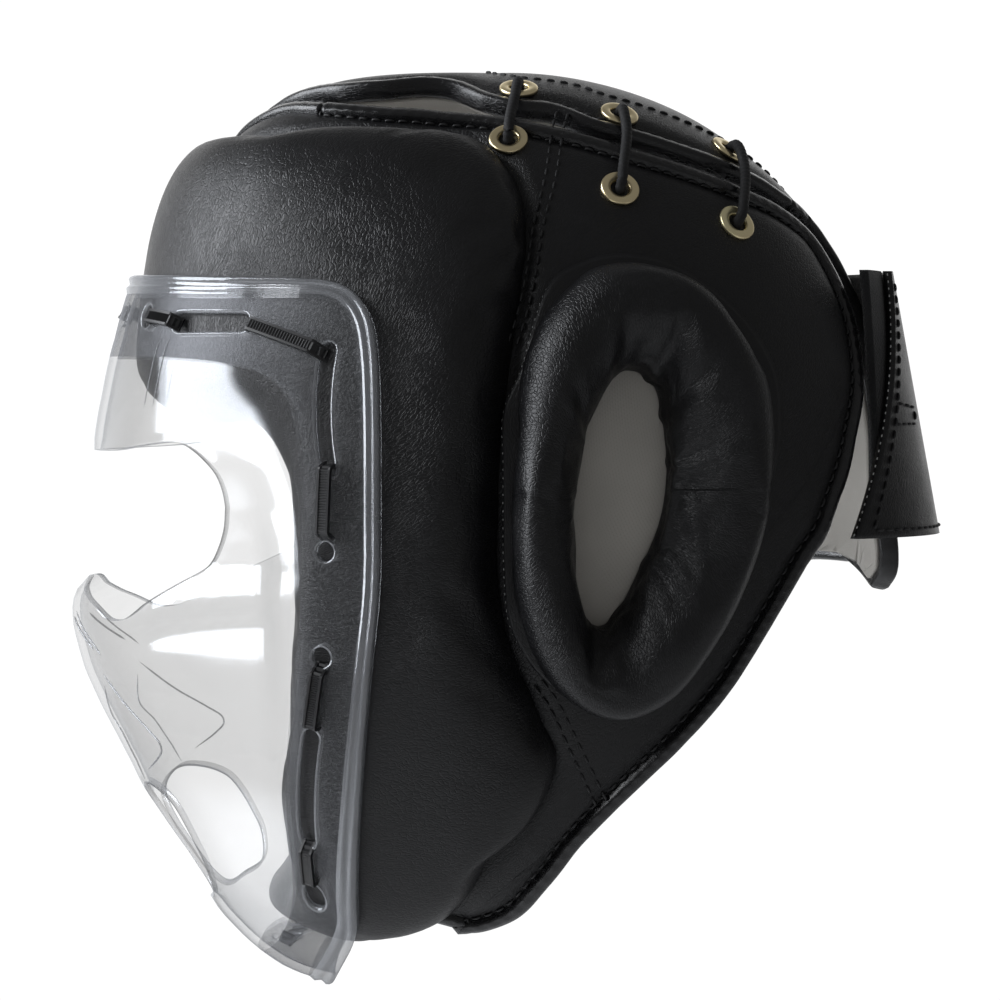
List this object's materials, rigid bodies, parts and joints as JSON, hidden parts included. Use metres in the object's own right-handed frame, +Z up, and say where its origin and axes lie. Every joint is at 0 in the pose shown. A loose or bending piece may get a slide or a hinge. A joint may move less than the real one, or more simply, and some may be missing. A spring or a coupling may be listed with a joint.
{
  "type": "head guard with face mask",
  "caption": "Padded sports head guard with ear pads, laced crown, rear hook-and-loop strap and a clear tied-on face mask with eye and mouth openings.",
  "frame": {"origin": "middle of the head space, where the wearer's head bears on the lining", "axes": "+Z up to the crown, -Y out of the face opening, +X towards the wearer's left"},
  "size_m": [0.1976, 0.2623, 0.2653],
  "materials": {
    "leather": "satin",
    "binding": "glossy",
    "lining": "matte",
    "clear": "glossy",
    "brass": "satin",
    "nylon": "satin",
    "cord": "matte",
    "loop": "matte"
  },
  "bodies": {
    "root": {"face_frame_pad": "leather", "face_frame_lining": "lining", "face_mask": "clear", "rear_flap": "leather", "rear_loop_strip": "loop", "tie_forehead": "nylon", "tie_chin": "nylon", "lace_1": "cord", "lace_2": "cord", "lace_3": "cord", "side_panel_left": "leather", "side_lining_left": "lining", "edge_binding_left": "binding", "ear_pad_left": "leather", "ear_base_left": "leather", "eyelet_left_1": "brass", "eyelet_left_2": "brass", "eyelet_left_3": "brass", "tie_left_1": "nylon", "tie_left_2": "nylon", "tie_left_3": "nylon", "tie_left_4": "nylon", "tie_left_5": "nylon", "side_panel_right": "leather", "side_lining_right": "lining", "edge_binding_right": "binding", "ear_pad_right": "leather", "ear_base_right": "leather", "eyelet_right_1": "brass", "eyelet_right_2": "brass", "eyelet_right_3": "brass", "tie_right_1": "nylon", "tie_right_2": "nylon", "tie_right_3": "nylon", "tie_right_4": "nylon", "tie_right_5": "nylon"}
  },
  "joints": []
}
